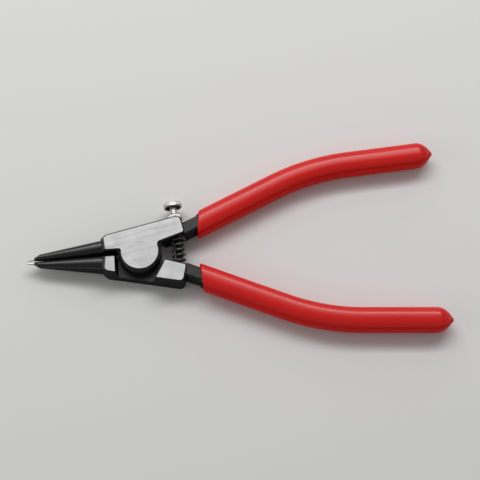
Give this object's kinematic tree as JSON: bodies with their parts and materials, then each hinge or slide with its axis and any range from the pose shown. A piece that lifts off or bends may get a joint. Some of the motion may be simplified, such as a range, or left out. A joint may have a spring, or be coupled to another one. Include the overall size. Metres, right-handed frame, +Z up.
{
  "type": "circlip pliers",
  "caption": "Slim pliers with fine straight pin tips that open when the dipped handles are squeezed, for spreading external retaining rings; a thumb screw limits the opening.",
  "frame": {"origin": "on the pivot axis, in the plane of the back faces that the pliers lie on", "axes": "+X from the joint to the handles, +Y to the handle with the thumb screw, +Z up out of the front face"},
  "size_m": [0.1401, 0.0674, 0.009],
  "materials": {
    "black_steel": "black phosphated forging, with ground bright faces",
    "ground_steel": "ground flush with the joint faces",
    "spring_steel": "black spring wire",
    "nickel": "bright nickel plate",
    "red_plastic": "dipped, satin gloss",
    "tip_steel": "bright hard steel pin"
  },
  "bodies": {
    "lower": {"lower_half": "black_steel", "lower_grip": "red_plastic", "lower_tip": "tip_steel", "pivot_rivet": "ground_steel", "opening_spring": "spring_steel"},
    "upper": {"upper_half": "black_steel", "upper_grip": "red_plastic", "upper_tip": "tip_steel"},
    "stop_stud": {"stop_screw": "nickel"},
    "stop_head": {"thumb_head": "nickel"},
    "stop_nut": {"lock_nut": "nickel"}
  },
  "joints": [
    {"name": "pivot", "type": "hinge", "parent": "lower", "child": "upper", "pos_m": [0, 0, 0.0045], "axis": [0, 0, -1], "range_deg": [0, 7.5], "stiffness_Nm_per_rad": 0.75, "springref_deg": -16.04, "deforming": ["opening_spring"]},
    {"name": "stop_screw_travel", "type": "slide", "parent": "upper", "child": "stop_stud", "axis": [-0.0785, 0.9969, 0], "range_m": [-0.00045, 0.0036]},
    {"name": "thumb_head_turn", "type": "hinge", "parent": "stop_stud", "child": "stop_head", "pos_m": [0.01182, 0.01695, 0.0045], "axis": [-0.0785, 0.9969, 0], "range_deg": [-361, 2881]},
    {"name": "lock_nut_turn", "type": "hinge", "parent": "upper", "child": "stop_nut", "pos_m": [0.01219, 0.01221, 0.0045], "axis": [-0.0785, 0.9969, 0], "range_deg": [0, 90]}
  ],
  "couplings": [
    {"joint": "thumb_head_turn", "follows": "stop_screw_travel", "rad_per_m": 13963}
  ]
}
